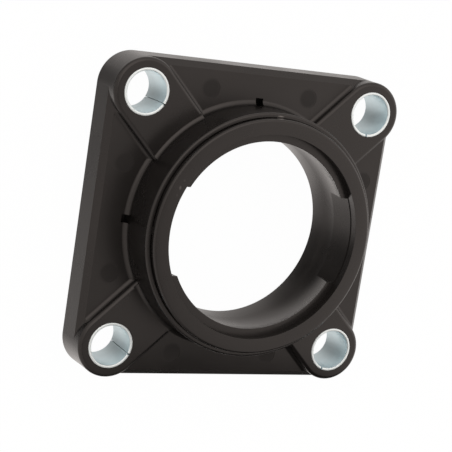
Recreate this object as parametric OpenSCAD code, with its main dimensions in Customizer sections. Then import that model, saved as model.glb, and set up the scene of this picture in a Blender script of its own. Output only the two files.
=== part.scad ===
// Four-bolt square flange housing for an insert bearing, moulded in plastic,
// with a rolled steel sleeve in each bolt hole.
// The origin is the centre of the bore on the back face of the flange, and +Z points
// along the bore to the front.

/* [Flange] */
// Distance between neighbouring bolt holes, the same both ways
bolt_spacing = 92; // [88:0.5:95]
// Radius of the flange's corners, which are round about the bolt holes
corner_r = 12.5; // [12:0.1:15]
// Height of the recessed webs above the back face
web_h = 13; // [11:0.25:14.5]
// Height of the raised bolt pads above the back face
pad_h = 16.3; // [15.6:0.1:18]
// How far the straight flange sides lean in between the back face and the bevel
side_draft = 0.4; // [0:0.05:1]
// Width of the bevel along the outer edge of each web
bevel_w = 2.2; // [0.5:0.1:3.5]
// Height of the bevel along the outer edge of each web
bevel_h = 2.3; // [0.5:0.1:4]
// How much narrower the straight part of a pad is than its round end, on each side
pad_inset = 0.2; // [0.1:0.05:0.4]
// Rounding along the top edge of the pads
pad_round = 1; // [0.3:0.1:1.5]
// Rounding in the corner between the pad walls and the webs
pad_foot = 1; // [0.3:0.1:1.5]
// Chamfer around the back face
back_chamfer = 0.4; // [0.1:0.1:1]

/* [Collar] */
// Height of the front face above the back face
front_h = 33.4; // [32.5:0.1:36]
// Depth of the recess in the front face
recess_depth = 3.3; // [2.5:0.1:4]
// How much the recess is wider in radius than the seat
recess_step = 1.2; // [0.6:0.1:2]
// Wall between the recess and the outside of the front ring
ring_wall = 5.4; // [4:0.1:7]
// Rounding of the front ring's outer edge
ring_round = 1; // [0.3:0.1:1.5]
// Width of the groove around the front ring
groove_w = 0.8; // [0.5:0.1:1.2]
// Depth of that groove below the shoulder
groove_depth = 2.1; // [1:0.1:3]
// Width of the shoulder outside the groove
shoulder_w = 1.5; // [1.2:0.1:2.5]
// How far the shoulder lies below the front face
shoulder_drop = 2.7; // [1.5:0.1:4]
// Rounding of the shoulder's outer edge
shoulder_round = 0.8; // [0.3:0.1:1]
// Rounding at the foot of the collar, on the webs
web_fillet = 2.1; // [0.8:0.1:2.6]
// Rounding at the foot of the collar, on the pads
pad_fillet = 1.6; // [0.8:0.1:2.2]
// Width of the four small bridges across the groove
bridge_w = 2.7; // [1.5:0.1:4]

/* [Seat] */
// Diameter of the ball-shaped seat
seat_d = 72; // [70:0.25:73]
// Height of the seat's centre above the back face
seat_h = 19.7; // [18.5:0.1:21]
// Diameter of the straight throat behind the seat
throat_d = 69.8; // [68:0.1:70]
// Diameter of the recess in the back face
rear_d = 79; // [76:0.5:82]
// Depth of the recess in the back face
rear_depth = 5.4; // [3:0.1:7]
// Chamfer of the rear recess at the back face
rear_chamfer = 0.5; // [0.1:0.1:1]
// Width of the two filling slots
slot_w = 32; // [24:0.2:36]
// Clearance in radius between a bearing ring and the floor of its filling slot
slot_clearance = 0.2; // [0.1:0.05:0.5]

/* [Small features] */
// Width of the notches at the foot of the collar
notch_w = 3; // [1.5:0.1:5]
// How far a notch reaches out from the collar wall
notch_reach = 2.6; // [1:0.1:4]
// How far a notch bites into the collar wall
notch_bite = 0.3; // [0.1:0.05:0.6]
// Depth of a notch below the web
notch_depth = 5; // [2:0.1:7]
// Height of a notch above the web
notch_rise = 2.2; // [1:0.1:4]
// Diameter of the ejector pin marks on the webs
mark_d = 7; // [3:0.25:8]
// Depth of the ejector pin marks
mark_depth = 0.2; // [0.1:0.05:0.5]
// Distance of a mark from the middle of its web
mark_offset = 20; // [16:0.5:22]

/* [Bolt sleeves] */
// Outside diameter of a sleeve
sleeve_d = 17; // [15:0.25:18]
// Thickness of the rolled sheet
sleeve_wall = 1.25; // [0.8:0.05:2]
// How far a sleeve stands above its pad
sleeve_proud = 0.2; // [0:0.05:0.6]
// Width of the open seam of a sleeve
seam_w = 0.8; // [0.3:0.1:1.5]
// Rounding of the sleeve's end edges, cut as a chamfer
sleeve_chamfer = 0.25; // [0.1:0.05:0.35]
// Radial clearance between a sleeve and its hole
sleeve_fit = 0.01; // [0.01:0.01:0.1]

/* [Hidden] */
$fn = 120;
overlap = 0.5;
// How far a rounded foot or a pad's face lies below what it runs into
bury = 0.02;
arc_steps = 6;
pad_past = 1;
foot_turn = 40;
foot_spare = 3;
plastic = [0.16, 0.155, 0.15];
zinc = [0.82, 0.84, 0.86];

// Where the open seam of each sleeve points
seam_top_left = -26;
seam_top_right = -91;
seam_bottom_left = -22;
seam_bottom_right = -110;

// The bolt pads are round about the bolt holes, and the flange's sides touch its round corners.
flange_w = bolt_spacing + 2 * corner_r;
boss_r = corner_r - side_draft;
pad_half_w = boss_r - pad_inset;
bevel_foot_h = web_h - bevel_h;
hole = bolt_spacing / 2;
hole_diagonal = hole * sqrt(2);
web_edge = flange_w / 2 - side_draft - bevel_w;
hole_r = sleeve_d / 2 + sleeve_fit;

// Radii of the collar, from the seat outwards
seat_r = seat_d / 2;
recess_r = seat_r + recess_step;
ring_r = recess_r + ring_wall;
groove_r = ring_r + groove_w;
collar_r = groove_r + shoulder_w;
shoulder_h = front_h - shoulder_drop;
ledge_h = front_h - recess_depth;
collar_foot_x = sqrt(pow(collar_r + web_fillet, 2) - pow(mark_offset, 2));
mark_centre = (collar_foot_x + web_edge) / 2;

// Points of an arc about [cx, cy], from angle a to angle b
function arc(cx, cy, r, a, b) =
    [for (i = [0:arc_steps]) [cx + r * cos(a + (b - a) * i / arc_steps), cy + r * sin(a + (b - a) * i / arc_steps)]];

// Outline of the flange side, measured from the bolt holes' line, without its bevel
function side_outline() = [[corner_r - back_chamfer, 0], [corner_r, back_chamfer], [boss_r, bevel_foot_h]];

// Turned shape of the flange corner and bolt pad about its hole
module boss() {
    rotate_extrude()
        polygon(concat(
            [[0, 0]],
            side_outline(),
            arc(boss_r - pad_round, pad_h - pad_round, pad_round, 0, 90),
            [[0, pad_h]]
        ));
}

// One of the two crossing slabs that give the flange its straight sides, with bevelled edges
module slab() {
    right = [for (p = side_outline()) [p[0] + hole, p[1]]];
    left = [for (i = [len(right) - 1:-1:0]) [-right[i][0], right[i][1]]];
    rotate([90, 0, 0])
        linear_extrude(height = bolt_spacing, center = true)
            polygon(concat(right, [[web_edge, web_h], [-web_edge, web_h]], left));
}

// Outline of half a pad's cross-section, from the web up to the pad's face. Its feet and its face lie
// a hair lower than what they run into, so that no two faces nearly coincide.
function pad_half(side) = [
    for (p = concat(
        [[pad_half_w + pad_foot, web_h - overlap]],
        arc(pad_half_w + pad_foot, web_h + pad_foot - bury, pad_foot, 270, 180),
        arc(pad_half_w - pad_round, pad_h - bury - pad_round, pad_round, 0, 90)
    )) [side * p[0], p[1]]
];

// Straight pad from inside the collar wall to just past the bolt hole's centre, along +X
module pad() {
    left = pad_half(-1);
    start = recess_r + ring_wall / 2;
    translate([start, 0, 0])
        rotate([90, 0, 90])
            linear_extrude(height = hole_diagonal + pad_past - start)
                polygon(concat(pad_half(1), [for (i = [len(left) - 1:-1:0]) left[i]]));
}

// Rounded foot that goes on around the bolt pad, foot_turn degrees far, until it meets the bevel.
// Its other end lies inside the straight pad.
module boss_foot() {
    foot_back = acos(1 - pad_inset / boss_r) + foot_spare;
    foot_x = boss_r + pad_foot - bury;
    foot_h = web_h + pad_foot - bury;
    foot = concat(
        [[boss_r - overlap, web_h - overlap], [foot_x, web_h - overlap]],
        arc(foot_x, foot_h, pad_foot, 270, 180),
        [[boss_r - overlap, foot_h]]
    );
    intersection() {
        translate([hole, hole, 0])
            rotate(45)
                for (side = [0, 1])
                    mirror([0, side, 0])
                        rotate(90 - foot_turn)
                            rotate_extrude(angle = foot_turn + foot_back)
                                polygon(foot);
        translate([0, 0, web_h])
            cube([2 * web_edge, 2 * web_edge, 2 * (pad_foot + overlap)], center = true);
    }
}

// Foot of the collar where it stands on a pad, along +X
module pad_collar_foot() {
    foot_w = 2 * (pad_half_w - pad_round / 2);
    foot_x = collar_r + pad_fillet - bury;
    foot_h = pad_h + pad_fillet - 2 * bury;
    intersection() {
        rotate_extrude()
            polygon(concat(
                [[collar_r - overlap, pad_h - overlap], [foot_x, pad_h - overlap]],
                arc(foot_x, foot_h, pad_fillet, 270, 180),
                [[collar_r - overlap, foot_h]]
            ));
        translate([collar_r, 0, pad_h])
            cube([collar_r, foot_w, 2 * (pad_fillet + overlap)], center = true);
    }
}

// Turned collar with its grooved front ring, still without its bore
module collar() {
    inner = seat_r / 2;
    rotate_extrude()
        polygon(concat(
            [[inner, rear_depth / 2], [collar_r + web_fillet, rear_depth / 2]],
            arc(collar_r + web_fillet, web_h + web_fillet, web_fillet, 270, 180),
            arc(collar_r - shoulder_round, shoulder_h - shoulder_round, shoulder_round, 0, 90),
            [
                [groove_r, shoulder_h],
                [groove_r, shoulder_h - groove_depth],
                [ring_r, shoulder_h - groove_depth]
            ],
            arc(ring_r - ring_round, front_h - ring_round, ring_round, 0, 90),
            [[inner, front_h]]
        ));
}

// Small bridge across the groove at +X
module bridge() {
    low = shoulder_h - groove_depth - overlap;
    translate([ring_r - overlap, -bridge_w / 2, low])
        cube([groove_w + 2 * overlap, bridge_w, shoulder_h - low]);
}

// Notch at the foot of the collar at +X
module notch() {
    translate([collar_r - notch_bite, -notch_w / 2, web_h - notch_depth])
        cube([notch_bite + notch_reach, notch_w, notch_depth + notch_rise]);
}

// Everything that the bearing sits in and passes through
module bore() {
    translate([0, 0, seat_h])
        sphere(d = seat_d);
    translate([0, 0, -overlap])
        cylinder(d = throat_d, h = seat_h + overlap);
    translate([0, 0, ledge_h])
        cylinder(r = recess_r, h = recess_depth + overlap);
    translate([0, 0, -overlap])
        cylinder(d = rear_d, h = rear_depth + overlap);
    rotate_extrude()
        polygon([
            [0, -overlap],
            [rear_d / 2 + rear_chamfer + overlap, -overlap],
            [rear_d / 2, rear_chamfer],
            [0, rear_chamfer]
        ]);
    intersection() {
        translate([0, 0, seat_h])
            cylinder(r = seat_r + slot_clearance, h = front_h);
        translate([-flange_w / 2, -slot_w / 2, seat_h])
            cube([flange_w, slot_w, front_h]);
    }
}

module housing() {
    color(plastic)
        difference() {
            union() {
                for (turn = [0, 90])
                    rotate(turn)
                        slab();
                for (turn = [0:90:270])
                    rotate(turn) {
                        translate([hole, hole, 0])
                            boss();
                        boss_foot();
                        rotate(45) {
                            pad();
                            pad_collar_foot();
                        }
                        bridge();
                    }
                collar();
            }
            bore();
            for (turn = [0:90:270])
                rotate(turn) {
                    notch();
                    translate([hole, hole, -overlap])
                        cylinder(r = hole_r, h = pad_h + 2 * overlap);
                    for (side = [-1, 1])
                        translate([mark_centre, side * mark_offset, web_h - mark_depth])
                            cylinder(d = mark_d, h = mark_depth + overlap);
                }
        }
}

// Rolled sleeve standing in a bolt hole, with its open seam turned to the given angle
module sleeve(x, y, seam) {
    length = pad_h + sleeve_proud;
    outer_r = sleeve_d / 2;
    inner_r = outer_r - sleeve_wall;
    color(zinc)
        translate([x, y, 0])
            rotate(seam)
                difference() {
                    rotate_extrude()
                        polygon([
                            [inner_r, sleeve_chamfer],
                            [inner_r + sleeve_chamfer, 0],
                            [outer_r - sleeve_chamfer, 0],
                            [outer_r, sleeve_chamfer],
                            [outer_r, length - sleeve_chamfer],
                            [outer_r - sleeve_chamfer, length],
                            [inner_r + sleeve_chamfer, length],
                            [inner_r, length - sleeve_chamfer]
                        ]);
                    translate([0, -seam_w / 2, -overlap])
                        cube([sleeve_d, seam_w, length + 2 * overlap]);
                }
}

module sleeve_top_left() {
    sleeve(-hole, hole, seam_top_left);
}

module sleeve_top_right() {
    sleeve(hole, hole, seam_top_right);
}

module sleeve_bottom_left() {
    sleeve(-hole, -hole, seam_bottom_left);
}

module sleeve_bottom_right() {
    sleeve(hole, -hole, seam_bottom_right);
}

housing();
sleeve_top_left();
sleeve_top_right();
sleeve_bottom_left();
sleeve_bottom_right();
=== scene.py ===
"""Looks of a square four-bolt flange housing for an insert bearing, moulded in dark plastic,
with a rolled zinc-plated sleeve in each bolt hole. The pieces are drawn in millimetres and then
brought to the frame's metres."""
import math

import bmesh
import bpy
from mathutils import Matrix, Vector


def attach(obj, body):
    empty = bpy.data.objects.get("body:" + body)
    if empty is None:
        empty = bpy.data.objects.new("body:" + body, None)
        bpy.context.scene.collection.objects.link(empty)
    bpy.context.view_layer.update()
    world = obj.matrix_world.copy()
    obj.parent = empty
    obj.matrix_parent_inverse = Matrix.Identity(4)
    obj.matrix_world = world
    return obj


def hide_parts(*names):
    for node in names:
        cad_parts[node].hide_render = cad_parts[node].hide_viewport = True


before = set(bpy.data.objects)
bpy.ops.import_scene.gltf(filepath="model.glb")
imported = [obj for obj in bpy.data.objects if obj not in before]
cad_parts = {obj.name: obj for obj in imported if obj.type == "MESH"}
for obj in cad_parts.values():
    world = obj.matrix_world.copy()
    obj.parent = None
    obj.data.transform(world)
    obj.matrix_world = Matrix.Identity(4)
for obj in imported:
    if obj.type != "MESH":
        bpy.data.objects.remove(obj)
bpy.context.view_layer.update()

# Camera. It looks down at the front of the housing from beyond its left side, through a long
# lens, as the photograph was taken.
MM = 0.001
camera_data = bpy.data.cameras.new("camera")
camera_data.sensor_width = 36
camera_data.lens = 119.78
camera = bpy.data.objects.new("camera", camera_data)
bpy.context.scene.collection.objects.link(camera)
camera_turn = Matrix((
    (0.88763134, -0.05384973, -0.45739568),
    (0.15145068, 0.97203572, 0.17946936),
    (0.43494056, -0.22857552, 0.87096495),
))
camera.matrix_world = Matrix.Translation(Vector((-257.98, 98.52, 493.57)) * MM) @ camera_turn.to_4x4()
bpy.context.scene.camera = camera


# Flange plate of the housing. A square slab of dark filled plastic, moulded in one with all that
# stands on it. Its sides lean in a little, and its front edges are cut to a wide bevel.
plate_half = 58.5
hole_at = 46.0
web_top = 13.0
bevel_wide, bevel_high = 2.2, 2.3
side_lean = 0.4
back_edge = 0.2
corner_gap = 0.1
same_spot = 1e-4


def pick(piece, kind, test):
    """Selects in edit mode only the verts or edges whose middle passes the test."""
    mesh = bmesh.from_edit_mesh(piece.data)
    bpy.ops.mesh.select_mode(type=kind)
    bpy.ops.mesh.select_all(action="DESELECT")
    for part in mesh.verts if kind == "VERT" else mesh.edges:
        middle = part.co if kind == "VERT" else (part.verts[0].co + part.verts[1].co) / 2
        if test(middle):
            part.select_set(True)
    mesh.select_flush_mode()
    bmesh.update_edit_mesh(piece.data)


def draw(name, corners, rounds=(), closed=True):
    """Draws an outline from corner to corner, starting with one point, and stays in edit mode.
    rounds lists (corner number, radius, segments)."""
    if bpy.context.mode != "OBJECT":
        bpy.ops.object.mode_set(mode="OBJECT")
    bpy.ops.object.select_all(action="DESELECT")
    bpy.ops.mesh.primitive_plane_add(size=1)
    piece = bpy.context.object
    piece.name = piece.data.name = name
    corners = [Vector(c) for c in corners]
    bpy.ops.object.mode_set(mode="EDIT")
    bpy.ops.mesh.select_mode(type="VERT")
    bpy.ops.mesh.select_all(action="SELECT")
    bpy.ops.mesh.merge(type="CENTER")
    bpy.ops.transform.translate(value=corners[0])
    for start, end in zip(corners, corners[1:]):
        bpy.ops.mesh.extrude_vertices_move(TRANSFORM_OT_translate={"value": (end - start)})
    if closed:
        pick(piece, "VERT", lambda p: min((p - corners[0]).length, (p - corners[-1]).length) < same_spot)
        bpy.ops.mesh.edge_face_add()
    for number, radius, segments in rounds:
        corner = corners[number]
        back = (corners[number - 1] - corner).normalized()
        ahead = (corners[(number + 1) % len(corners)] - corner).normalized()
        turn = math.pi - back.angle(ahead)
        pick(piece, "VERT", lambda p: (p - corner).length < same_spot)
        bpy.ops.mesh.bevel(offset_type="OFFSET", offset=radius * math.tan(turn / 2), segments=segments,
                           affect="VERTICES", clamp_overlap=False)
    return piece


def build_up(piece, steps, low_edge=0.0):
    """Fills the drawn outline and raises it step by step; each step goes (inward, up). The edge
    at the bottom is then cut off by low_edge."""
    bpy.ops.mesh.select_all(action="SELECT")
    bpy.ops.mesh.remove_doubles(threshold=same_spot)
    bpy.ops.mesh.edge_face_add()
    bpy.ops.mesh.select_mode(type="FACE")
    mesh = bmesh.from_edit_mesh(piece.data)
    mesh.faces.ensure_lookup_table()
    if mesh.faces[0].normal.z < 0:
        bpy.ops.mesh.flip_normals()
    for inward, up in steps:
        if inward < same_spot:
            bpy.ops.mesh.extrude_region_move(TRANSFORM_OT_translate={"value": (0, 0, up)})
        else:
            bpy.ops.mesh.inset(thickness=inward, depth=up)
    bpy.ops.mesh.select_mode(type="EDGE")
    bpy.ops.mesh.select_all(action="DESELECT")
    bpy.ops.mesh.select_non_manifold()
    bpy.ops.mesh.edge_face_add()
    bpy.ops.mesh.select_all(action="SELECT")
    bpy.ops.mesh.normals_make_consistent(inside=False)
    if low_edge:
        pick(piece, "EDGE", lambda p: p.z < same_spot)
        bpy.ops.mesh.bevel(offset=low_edge, segments=2, affect="EDGES")
    bpy.ops.object.mode_set(mode="OBJECT")


# A side runs straight until just before the corner's round end about its bolt hole
stop = hole_at - corner_gap
plate = draw("housing", [
    (plate_half, stop, 0), (stop, plate_half, 0), (-stop, plate_half, 0), (-plate_half, stop, 0),
    (-plate_half, -stop, 0), (-stop, -plate_half, 0), (stop, -plate_half, 0), (plate_half, -stop, 0)])
build_up(plate, [(side_lean, web_top - bevel_high), (bevel_wide, bevel_high)], back_edge)


# Corner pads of the housing. Each is a thick tongue that runs out from the collar and ends round
# about its bolt hole, with a rounded top edge and a small hollow round where it meets the webs.
pad_top = 16.3
pad_round = 1.5
pad_foot = 1.7
pad_start = 40.0
foot_buried = 0.5
foot_past_hole = 4.0
edge_gap = 0.03
# Forms are sunk into each other by this much, so that no two faces only just meet
sink = 0.02
corner_r = plate_half - hole_at
diagonal = hole_at * math.sqrt(2)


def quarter_arc(radius, count, hollow):
    """Steps (inward, up) of a quarter round: a hollow one starts flat and ends upright."""
    points = [(radius * math.cos(math.pi / 2 * i / count), radius * math.sin(math.pi / 2 * i / count))
              for i in range(count + 1)]
    steps = [(a[0] - b[0], b[1] - a[1]) for a, b in zip(points, points[1:])]
    return [(up, inward) for inward, up in steps] if hollow else steps


def tongue(name, radius, low):
    """Plan outline of a pad along +X with its round end about the bolt hole."""
    return draw(name, [(pad_start, -radius, low), (diagonal + radius, -radius, low),
                       (diagonal + radius, radius, low), (pad_start, radius, low)],
                rounds=[(1, radius, 24), (2, radius, 24)])


def open_mesh(piece):
    """Opens a piece in edit mode, with all of it selected."""
    bpy.context.view_layer.objects.active = piece
    bpy.ops.object.mode_set(mode="EDIT")
    bpy.ops.mesh.select_all(action="SELECT")


def turn_mesh(piece, angle):
    """Turns a whole mesh about the bore."""
    open_mesh(piece)
    bpy.ops.transform.rotate(value=angle, orient_axis="Z", center_override=(0, 0, 0))
    bpy.ops.object.mode_set(mode="OBJECT")


def go_round(piece, copies=4):
    """Copies a mesh in steps of a quarter turn about the bore."""
    open_mesh(piece)
    for _ in range(copies - 1):
        bpy.ops.mesh.duplicate()
        bpy.ops.transform.rotate(value=math.pi / 2, orient_axis="Z", center_override=(0, 0, 0))
    bpy.ops.object.mode_set(mode="OBJECT")


def trim(point, outward):
    """Cuts off all that lies beyond a plane, and closes the cut."""
    bpy.ops.mesh.select_all(action="SELECT")
    bpy.ops.mesh.bisect(plane_co=point, plane_no=outward, use_fill=True, clear_outer=True)


def combine(base, tool, how):
    """Joins the tool to the base or cuts it out of it, and throws the tool away."""
    bpy.ops.object.select_all(action="DESELECT")
    bpy.context.view_layer.objects.active = base
    base.select_set(True)
    step = base.modifiers.new(how, "BOOLEAN")
    step.operation = how
    step.object = tool
    step.solver = "EXACT"
    bpy.ops.object.modifier_apply(modifier=step.name)
    bpy.data.objects.remove(tool)
    open_mesh(base)
    bpy.ops.mesh.dissolve_degenerate(threshold=0.003)
    bpy.ops.object.mode_set(mode="OBJECT")


pads = tongue("pads", corner_r, 0)
pad_wall = [(side_lean, web_top - bevel_high), (0, pad_top - pad_round - web_top + bevel_high)]
build_up(pads, pad_wall + quarter_arc(pad_round, 6, False), back_edge)
turn_mesh(pads, math.pi / 4)
go_round(pads)

feet = tongue("feet", corner_r - side_lean + pad_foot - sink, web_top - foot_buried)
build_up(feet, [(0, foot_buried - sink)] + quarter_arc(pad_foot, 6, True) + [(foot_buried, 0)])
open_mesh(feet)
trim((diagonal + foot_past_hole, 0, 0), (1, 0, 0))
bpy.ops.object.mode_set(mode="OBJECT")
turn_mesh(feet, math.pi / 4)
go_round(feet)
open_mesh(feet)
web_edge = plate_half - side_lean - bevel_wide - edge_gap
for x, y in ((1, 0), (-1, 0), (0, 1), (0, -1)):
    trim(Vector((x * web_edge, y * web_edge, web_top)), (x * bevel_high, y * bevel_high, bevel_wide))
bpy.ops.object.mode_set(mode="OBJECT")
combine(plate, pads, "UNION")
combine(plate, feet, "UNION")


# Collar of the housing. The round wall that holds the bearing, with a hollow round at its foot, a
# stepped shoulder and a narrow groove round the front ring, which four small bridges cross.
around = 240
core_r = 20
root_r, root_z = 48, 3
shoulder_top = 30.7
front_top = 33.4
collar_r = 44.9
ring_r = 43.05
groove_r = 43.25
groove_floor = 29.6
face_r = 40.4
face_drop = 0.1


def weld():
    """Joins what meets, turns all faces outwards and leaves edit mode."""
    bpy.ops.mesh.select_all(action="SELECT")
    bpy.ops.mesh.remove_doubles(threshold=same_spot)
    bpy.ops.mesh.normals_make_consistent(inside=False)
    bpy.ops.object.mode_set(mode="OBJECT")


def turned(name, corners, rounds=(), closed=True):
    """A turned body: its half section is drawn as (radius, height) corners and spun about the bore."""
    piece = draw(name, [(r, 0, z) for r, z in corners], rounds, closed)
    bpy.ops.mesh.select_all(action="SELECT")
    bpy.ops.mesh.spin(steps=around, angle=2 * math.pi, center=(0, 0, 0), axis=(0, 0, 1))
    weld()
    return piece


collar = turned("collar", [
    (core_r, root_z), (root_r, root_z), (root_r, web_top - sink), (collar_r, web_top - sink),
    (collar_r, shoulder_top), (groove_r, shoulder_top), (groove_r, groove_floor), (ring_r, groove_floor),
    (ring_r, front_top - face_drop), (face_r, front_top), (core_r, front_top)],
    rounds=[(3, 2.1, 10), (4, 0.8, 10), (5, 0.1, 2), (8, 0.9, 10)])

# Hollow round where the collar stands on the pads, cut to the pads' width
pad_ring_in, pad_ring_out, pad_ring_top = 43, 47, 19
pad_ring_buried = 0.5
pad_ring_half = 11.4
pad_ring = turned("pad_ring", [
    (pad_ring_in, pad_top - pad_ring_buried), (pad_ring_out, pad_top - pad_ring_buried),
    (pad_ring_out, pad_top - sink), (collar_r - sink, pad_top - sink),
    (collar_r - sink, pad_ring_top), (pad_ring_in, pad_ring_top)], rounds=[(3, 1.6, 8)])
open_mesh(pad_ring)
for side in (1, -1):
    trim((0, side * pad_ring_half, 0), (0, side, 0))
bpy.ops.object.mode_set(mode="OBJECT")
turn_mesh(pad_ring, math.pi / 4)
go_round(pad_ring, 2)


def block(name, low, high):
    """A plain box between two corners."""
    low, high = Vector(low), Vector(high)
    bpy.ops.mesh.primitive_cube_add(size=1)
    piece = bpy.context.object
    piece.name = piece.data.name = name
    bpy.ops.object.mode_set(mode="EDIT")
    bpy.ops.transform.resize(value=(high - low))
    bpy.ops.transform.translate(value=(low + high) / 2)
    bpy.ops.object.mode_set(mode="OBJECT")
    return piece


bridge_in, bridge_out = 42.7, 43.7
bridge_half = 1.35
bridge_foot = 29.2
bridges = block("bridges", (bridge_in, -bridge_half, bridge_foot),
                (bridge_out, bridge_half, shoulder_top - sink))
bpy.ops.object.mode_set(mode="EDIT")
pick(bridges, "EDGE", lambda p: p.z > shoulder_top - 0.1 and abs(p.y) > bridge_half - 0.05)
bpy.ops.mesh.bevel(offset=0.2, segments=3, affect="EDGES")
bpy.ops.object.mode_set(mode="OBJECT")
go_round(bridges)
combine(plate, collar, "UNION")
combine(plate, pad_ring, "UNION")
combine(plate, bridges, "UNION")


# Bore of the housing. The ball-shaped seat opens to the front through a recess and two filling
# slots, and to the back through a straight throat and a wide shallow recess.
seat_r = 36.0
seat_mid = 19.7
throat_r = 34.9
rear_r = 39.5
rear_chamfer = 0.5
rear_depth = 5.4
ledge_r, ledge_z = 37.3, 30.1
mouth_r = 37.45
clear_r, clear_z = 37.8, 35
throat_steps = 8
ball_steps = 24
# The throat widens in a soft curve until it meets the seat at this height
blend_z = 14.2
blend_r = math.sqrt(seat_r ** 2 - (seat_mid - blend_z) ** 2)
throat = [(throat_r + (blend_r - throat_r) * (i / throat_steps) ** 2,
           rear_depth + (blend_z - rear_depth) * i / throat_steps) for i in range(throat_steps)]
low_angle = math.asin((blend_z - seat_mid) / seat_r)
high_angle = math.asin((ledge_z - seat_mid) / seat_r)
ball = [low_angle + (high_angle - low_angle) * i / ball_steps for i in range(ball_steps + 1)]
bore = turned("bore", [(0, -1), (rear_r + rear_chamfer + 1, -1), (rear_r, rear_chamfer), (rear_r, rear_depth)]
              + throat
              + [(seat_r * math.cos(a), seat_mid + seat_r * math.sin(a)) for a in ball]
              + [(ledge_r, ledge_z), (mouth_r, front_top + sink), (clear_r, front_top + sink),
                 (clear_r, clear_z), (0, clear_z)],
              rounds=[(3, 0.3, 3), (36, 0.12, 3), (38, 0.12, 3)], closed=False)

# The floors of the slots are part of one cone, as wide as the seat at the seat's middle
slot_half = 16
slot_low, slot_high = 16.0, 36.0
slot_mouth_r = 37.4
slot_slope = (slot_mouth_r - seat_r) / (front_top - seat_mid)
bpy.ops.mesh.primitive_cone_add(vertices=360, radius1=seat_r - (seat_mid - slot_low) * slot_slope,
                                radius2=seat_r + (slot_high - seat_mid) * slot_slope,
                                depth=slot_high - slot_low, location=(0, 0, (slot_low + slot_high) / 2))
slots = bpy.context.object
open_mesh(slots)
for side in (1, -1):
    trim((0, side * slot_half, 0), (0, side, 0))
bpy.ops.object.mode_set(mode="OBJECT")
combine(plate, bore, "DIFFERENCE")
combine(plate, slots, "DIFFERENCE")


# Small cuts in the housing: a notch at the foot of the collar on each side, two shallow round
# ejector marks on each web, and the bolt holes.
notch_half = 1.5
notch_bite, notch_reach = 0.3, 2.6
notch_low, notch_high = 8, 15.2
mark_r = 3.5
mark_out, mark_aside = 49.2, 20
mark_depth = 0.08
hole_r = 8.51
cuts = block("cuts", (collar_r - notch_bite, -notch_half, notch_low),
             (collar_r + notch_reach, notch_half, notch_high))
cutters = [cuts]
for side in (1, -1):
    bpy.ops.mesh.primitive_cylinder_add(
        vertices=48, radius=mark_r, depth=1,
        location=Vector((mark_out, side * mark_aside, web_top + 0.5 - mark_depth)))
    cutters.append(bpy.context.object)
bpy.ops.mesh.primitive_cylinder_add(vertices=96, radius=hole_r, depth=20,
                                    location=Vector((hole_at, hole_at, 8)))
cutters.append(bpy.context.object)
bpy.ops.object.select_all(action="DESELECT")
for cutter in cutters:
    cutter.select_set(True)
bpy.context.view_layer.objects.active = cuts
bpy.ops.object.join()
bpy.ops.object.transform_apply()
go_round(cuts)
combine(plate, cuts, "DIFFERENCE")


# Finish of the housing. All forms above are one moulding in black filled plastic, slightly warm in
# tone, with fine grain, duller webs, dark ejector marks, a painted glint on the top bridge and a few small
# pale spots beside the left slot.
def to_metres(piece):
    """Brings a mesh that was modelled in millimetres to the frame's metres."""
    open_mesh(piece)
    bpy.ops.transform.resize(value=(MM, MM, MM), center_override=(0, 0, 0))
    bpy.ops.object.mode_set(mode="OBJECT")


open_mesh(plate)
bpy.ops.mesh.remove_doubles(threshold=2e-4)
bpy.ops.object.mode_set(mode="OBJECT")
to_metres(plate)
bpy.ops.object.shade_smooth_by_angle(angle=math.radians(13))
flatten = plate.modifiers.new("even shading", "WEIGHTED_NORMAL")
flatten.keep_sharp = True
bpy.ops.object.modifier_apply(modifier=flatten.name)


def node_adder(tree):
    """Gives a way to add a node with its inputs and settings to the tree."""
    def add(kind, inputs=None, **settings):
        node = tree.nodes.new(kind)
        for key, value in settings.items():
            setattr(node, key, value)
        for key, value in (inputs or {}).items():
            if isinstance(value, bpy.types.NodeSocket):
                tree.links.new(value, node.inputs[key])
            else:
                node.inputs[key].default_value = value
        return node

    return add


def new_material(name):
    """A node material with an empty tree but for its shader, and ways to add nodes and links."""
    material = bpy.data.materials.new(name)
    material.use_nodes = True
    tree = material.node_tree
    tree.nodes.clear()
    out = tree.nodes.new("ShaderNodeOutputMaterial")
    shader = tree.nodes.new("ShaderNodeBsdfPrincipled")
    tree.links.new(shader.outputs[0], out.inputs[0])
    return material, shader, node_adder(tree), tree.links.new


def reckon(add, how, *values):
    """Result of one sum on numbers or sockets."""
    return add("ShaderNodeMath", dict(enumerate(values)), operation=how).outputs[0]


def between(add, value, start, end, low=0.0, high=1.0):
    """A number that goes from low to high as the value goes from start to end."""
    return add("ShaderNodeMapRange", {"Value": value, "From Min": start, "From Max": end,
                                      "To Min": low, "To Max": high}).outputs[0]


def two_tone(add, share, dark, pale):
    """A colour that drifts between a dark and a pale tone."""
    tone = add("ShaderNodeValToRGB", {"Fac": share})
    for element, position, color in zip(tone.color_ramp.elements, (0.3, 0.7), (dark, pale)):
        element.position = position
        element.color = (*color, 1)
    return tone.outputs["Color"]


def blend(add, share, first, second):
    """The first colour, changing to the second as share goes to 1."""
    return add("ShaderNodeMix", {0: share, 6: first, 7: second}, data_type="RGBA").outputs[2]


def oval(add, place, middle, size, edge, core, strength=1.0):
    """A soft oval patch about a middle (mm): nothing beyond edge x size, full at core x size."""
    away = add("ShaderNodeVectorMath", {0: place, 1: Vector(middle) * MM}, operation="SUBTRACT")
    scaled = add("ShaderNodeVectorMath", {0: away.outputs[0], 1: Vector(size) * MM}, operation="DIVIDE")
    far = add("ShaderNodeVectorMath", {0: scaled.outputs[0]}, operation="LENGTH")
    return between(add, far.outputs["Value"], edge, core, 0.0, strength)


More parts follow.
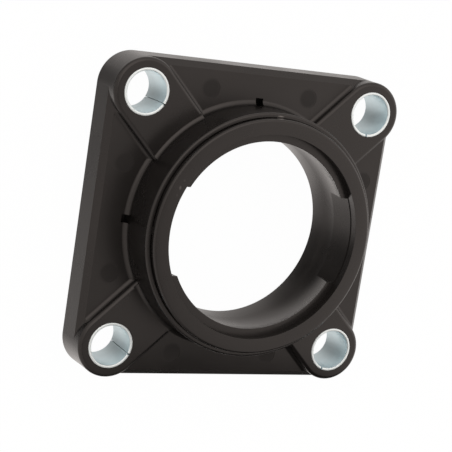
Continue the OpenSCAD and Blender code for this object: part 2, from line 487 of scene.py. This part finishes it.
plastic, shader, add, link = new_material("dark_plastic")
place = add("ShaderNodeTexCoord").outputs["Object"]
cloud = add("ShaderNodeTexNoise", {"Vector": place, "Scale": 45.0, "Detail": 4.0, "Roughness": 0.55})
grain = add("ShaderNodeTexNoise", {"Vector": place, "Scale": 2600.0, "Detail": 3.0, "Roughness": 0.6})
tone = two_tone(add, cloud.outputs["Fac"], (0.0042, 0.0038, 0.0036), (0.0068, 0.0060, 0.0056))

# Pale patches: the first two are a painted glint on the top bridge, the other three are small pale spots
# beside the left slot's corner; middle, half size (mm) and how strong each is
painted_glint_and_pale_spots = 0.0
for middle, size, strength in (((0.1, 43.75, 30.7), (1.3, 0.26, 1.0), 1.0),
                               ((-0.5, 43.0, 32.0), (1.0, 0.17, 1.0), 1.0),
                               ((-36.1, 16.1, 33.4), (0.45, 0.8, 1.0), 0.30),
                               ((-34.9, 18.7, 33.4), (0.4, 0.4, 1.0), 0.12),
                               ((-36.9, 13.4, 33.4), (0.35, 0.5, 1.0), 0.10)):
    painted_glint_and_pale_spots = reckon(add, "MAXIMUM", oval(add, place, middle, size, 1.2, 0.3, strength), painted_glint_and_pale_spots)

# The webs are duller than the rest, and most of all in the ejector marks
height = add("ShaderNodeSeparateXYZ", {0: place}).outputs["Z"]
web = reckon(add, "MULTIPLY", between(add, height, 12.7 * MM, 12.9 * MM),
             between(add, height, 13.6 * MM, 13.05 * MM))
folded = add("ShaderNodeVectorMath", {0: place}, operation="ABSOLUTE")
nearest = 1.0
for middle in ((mark_aside, mark_out, web_top), (mark_out, mark_aside, web_top)):
    away = add("ShaderNodeVectorMath", {0: folded.outputs[0], 1: Vector(middle) * MM}, operation="DISTANCE")
    nearest = reckon(add, "MINIMUM", away.outputs["Value"], nearest)
disc = between(add, nearest, 4.0 * MM, 2.8 * MM)
rough = between(add, cloud.outputs["Fac"], 0.3, 0.7, 0.23, 0.33)
dull = reckon(add, "MULTIPLY_ADD", disc, 0.30, 0.06)
matte = reckon(add, "MULTIPLY_ADD", web, dull, rough)

# A fine dark line up the collar wall above the left notch, where the mould's parting line runs
dark_line_above_notch = oval(add, place, (-44.9, 0.5, 23.5), (3, 0.4, 7), 1.1, 0.6)
darker = reckon(add, "MAXIMUM", reckon(add, "MULTIPLY", web, disc), dark_line_above_notch)
tone_with_dark_marks = blend(add, darker, tone, (0.0018, 0.0016, 0.0015, 1))
# Pale colour mixed in at the painted glint on the top bridge and at the small pale spots
link(blend(add, painted_glint_and_pale_spots, tone_with_dark_marks, (0.17, 0.155, 0.145, 1)), shader.inputs["Base Color"])
link(matte, shader.inputs["Roughness"])
shader.inputs["Specular Tint"].default_value = (1.0, 0.92, 0.88, 1)
bump = add("ShaderNodeBump", {"Height": grain.outputs["Fac"], "Strength": 0.25, "Distance": 0.03 * MM})
link(bump.outputs[0], shader.inputs["Normal"])

plate.data.materials.clear()
plate.data.materials.append(plastic)
plate.name = plate.data.name = "moulded_housing"
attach(plate, "root")
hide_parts("housing")


# Bolt sleeves. Short tubes rolled from zinc-plated steel sheet, pressed into the bolt holes with
# their open seam left showing, and standing a little proud of the pads.
zinc, shader, add, link = new_material("zinc_plate")
place = add("ShaderNodeTexCoord").outputs["Object"]
height = add("ShaderNodeSeparateXYZ", {0: place}).outputs["Z"]
cloud = add("ShaderNodeTexNoise", {"Vector": place, "Scale": 160.0, "Detail": 5.0, "Roughness": 0.6})
tone = two_tone(add, cloud.outputs["Fac"], (0.69, 0.81, 0.845), (0.78, 0.89, 0.925))
# Painted shade: the tube's colour darkens deeper inside it. The sheared rim is pale and rougher
painted_deep_shade = between(add, height, 5 * MM, 15 * MM, 0.84, 1.08)
tone_shaded_deep = add("ShaderNodeVectorMath", {0: tone, "Scale": painted_deep_shade}, operation="SCALE").outputs[0]
rim = between(add, height, 16.0 * MM, 16.3 * MM)
rough = between(add, cloud.outputs["Fac"], 0.3, 0.7, 0.45, 0.55)
worn = reckon(add, "MINIMUM", reckon(add, "MAXIMUM", rough, rim), 0.60)
link(blend(add, rim, tone_shaded_deep, (0.80, 0.84, 0.84, 1)), shader.inputs["Base Color"])
link(worn, shader.inputs["Roughness"])
shader.inputs["Metallic"].default_value = 1.0

sleeve_r = 8.5
sleeve_wall = 1.08
sleeve_bore = sleeve_r - sleeve_wall
sleeve_top = 16.5
seam_half = 0.13
seam_notch_half = 0.42
seam_notch_deep = 1.0
seam_notch_taper = 0.35
# Middle of each sleeve (mm), and the angle of its seam
sleeve_spots = {"top_left": (-hole_at, hole_at, -29), "top_right": (hole_at, hole_at, -94),
                "bottom_left": (-hole_at, -hole_at, -23), "bottom_right": (hole_at, -hole_at, -110)}
for corner, (x, y, seam) in sleeve_spots.items():
    start = math.asin(seam_half / sleeve_r)
    sleeve = draw("rolled_sleeve_" + corner, [
        (sleeve_r, 0, 0), (sleeve_r, 0, sleeve_top), (sleeve_bore, 0, sleeve_top), (sleeve_bore, 0, 0)],
        rounds=[(0, 0.25, 4), (1, 0.35, 5), (2, 0.5, 6), (3, 0.3, 4)])
    bpy.ops.mesh.select_all(action="SELECT")
    bpy.ops.mesh.edge_face_add()
    bpy.ops.transform.rotate(value=-(start + math.radians(seam)), orient_axis="Z", center_override=(0, 0, 0))
    bpy.ops.mesh.spin(steps=96, angle=2 * math.pi - 2 * start, center=(0, 0, 0), axis=(0, 0, 1))
    weld()
    # Where the seam meets the rim, the two ends of the sheet part in a small notch
    notch = block("notch", (sleeve_r - 2, -seam_notch_half, sleeve_top - seam_notch_deep),
                  (sleeve_r + 1, seam_notch_half, sleeve_top + 0.5))
    bpy.ops.object.mode_set(mode="EDIT")
    pick(notch, "VERT", lambda p: p.z < sleeve_top - seam_notch_deep / 2)
    bpy.ops.transform.resize(value=(1, seam_notch_taper, 1), center_override=(0, 0, 0))
    bpy.ops.object.mode_set(mode="OBJECT")
    turn_mesh(notch, -math.radians(seam))
    combine(sleeve, notch, "DIFFERENCE")
    open_mesh(sleeve)
    bpy.ops.transform.translate(value=Vector((x, y, 0)))
    bpy.ops.object.mode_set(mode="OBJECT")
    to_metres(sleeve)
    bpy.ops.object.shade_smooth_by_angle(angle=math.radians(30))
    sleeve.data.materials.clear()
    sleeve.data.materials.append(zinc)
    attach(sleeve, "root")
    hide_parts("sleeve_" + corner)


# Table and light. A plain white table just under the housing, a dim card that only gloss sees in
# place of the shade before its lower edge, and soft light, brightest from above its upper edge.
table_drop = 0.05
bpy.ops.mesh.primitive_plane_add(size=6, location=(0, 0, -table_drop * MM))
floor = bpy.context.object
floor.name = "floor"
table, shader, add, link = new_material("white_table")
shader.inputs["Base Color"].default_value = (0.9, 0.9, 0.9, 1)
shader.inputs["Roughness"].default_value = 0.8
ray = add("ShaderNodeLightPath")
white = add("ShaderNodeEmission", {"Color": (1, 1, 1, 1), "Strength": 1.0})
clear = add("ShaderNodeBsdfTransparent")
seen_white = reckon(add, "MULTIPLY", ray.outputs["Is Camera Ray"], 0.98)
bright = add("ShaderNodeMixShader", {0: seen_white, 1: shader.outputs[0], 2: white.outputs[0]})
# The table is clear to gloss, which also sees what is below, and to a look from underneath
under = reckon(add, "MAXIMUM", ray.outputs["Is Glossy Ray"],
               add("ShaderNodeNewGeometry").outputs["Backfacing"])
surface = add("ShaderNodeMixShader", {0: under, 1: bright.outputs[0], 2: clear.outputs[0]})
link(surface.outputs[0], table.node_tree.nodes["Material Output"].inputs[0])
floor.data.materials.append(table)

card_y = -63
card_low, card_high = Vector((-70, card_y, 13)) * MM, Vector((90, card_y, 85)) * MM
bpy.ops.mesh.primitive_plane_add(size=1)
card = bpy.context.object
card.name = "shade_card"
bpy.ops.object.mode_set(mode="EDIT")
bpy.ops.transform.rotate(value=math.pi / 2, orient_axis="X", center_override=(0, 0, 0))
bpy.ops.transform.resize(value=((card_high.x - card_low.x), 1, (card_high.z - card_low.z)))
bpy.ops.transform.translate(value=(card_low + card_high) / 2)
bpy.ops.object.mode_set(mode="OBJECT")
warm_white = (1, 0.95, 0.92, 1)
shade, _, add, link = new_material("shade_card")
place = add("ShaderNodeTexCoord").outputs["Object"]
fade = oval(add, place, (14, card_y, 18), (72, 1000, 58), 1.0, 0.5)
seen = reckon(add, "MULTIPLY", add("ShaderNodeLightPath").outputs["Is Glossy Ray"], fade)
dim = add("ShaderNodeEmission", {"Color": warm_white, "Strength": 0.03})
clear = add("ShaderNodeBsdfTransparent")
surface = add("ShaderNodeMixShader", {0: seen, 1: clear.outputs[0], 2: dim.outputs[0]})
link(surface.outputs[0], shade.node_tree.nodes["Material Output"].inputs[0])
card.data.materials.append(shade)

world = bpy.data.worlds.new("studio")
bpy.context.scene.world = world
world.use_nodes = True
add, link = node_adder(world.node_tree), world.node_tree.links.new
way = add("ShaderNodeTexCoord").outputs["Generated"]
level = 0.85
# Direction, angle where the patch ends, angle where it is full, and what it adds to the level
for towards, outer, inner, gain in (
        ((-0.15, 0.60, 0.79), 48, 12, 0.85),
        ((0.85, 0.00, 0.53), 44, 26, 0.60),
        ((0.22, -0.28, 0.935), 38, 10, -0.42),
        ((0.30, -0.95, -0.10), 50, 18, -0.80),
        ((0.15, -0.50, -0.85), 36, 12, 0.45),
        ((-0.62, 0.12, -0.77), 28, 8, -0.70),
        ((-0.45, 0.62, -0.64), 28, 10, -0.55),
        ((-0.51, -0.30, -0.81), 22, 8, -0.09)):
    facing = add("ShaderNodeVectorMath", {0: way, 1: Vector(towards).normalized()}, operation="DOT_PRODUCT")
    patch = add("ShaderNodeMapRange", {
        "Value": facing.outputs["Value"], "From Min": math.cos(math.radians(outer)),
        "From Max": math.cos(math.radians(inner)), "To Max": gain}, interpolation_type="SMOOTHSTEP")
    level = reckon(add, "ADD", level, patch.outputs[0])
level = reckon(add, "MAXIMUM", level, 0.03)
background = world.node_tree.nodes["Background"]
camera_ray = add("ShaderNodeLightPath").outputs["Is Camera Ray"]
shown = add("ShaderNodeMix", {0: camera_ray, 2: level, 3: 1.0})
link(shown.outputs[0], background.inputs["Strength"])
link(blend(add, camera_ray, warm_white, (1, 1, 1, 1)), background.inputs["Color"])

bpy.context.scene.view_settings.view_transform = "Standard"
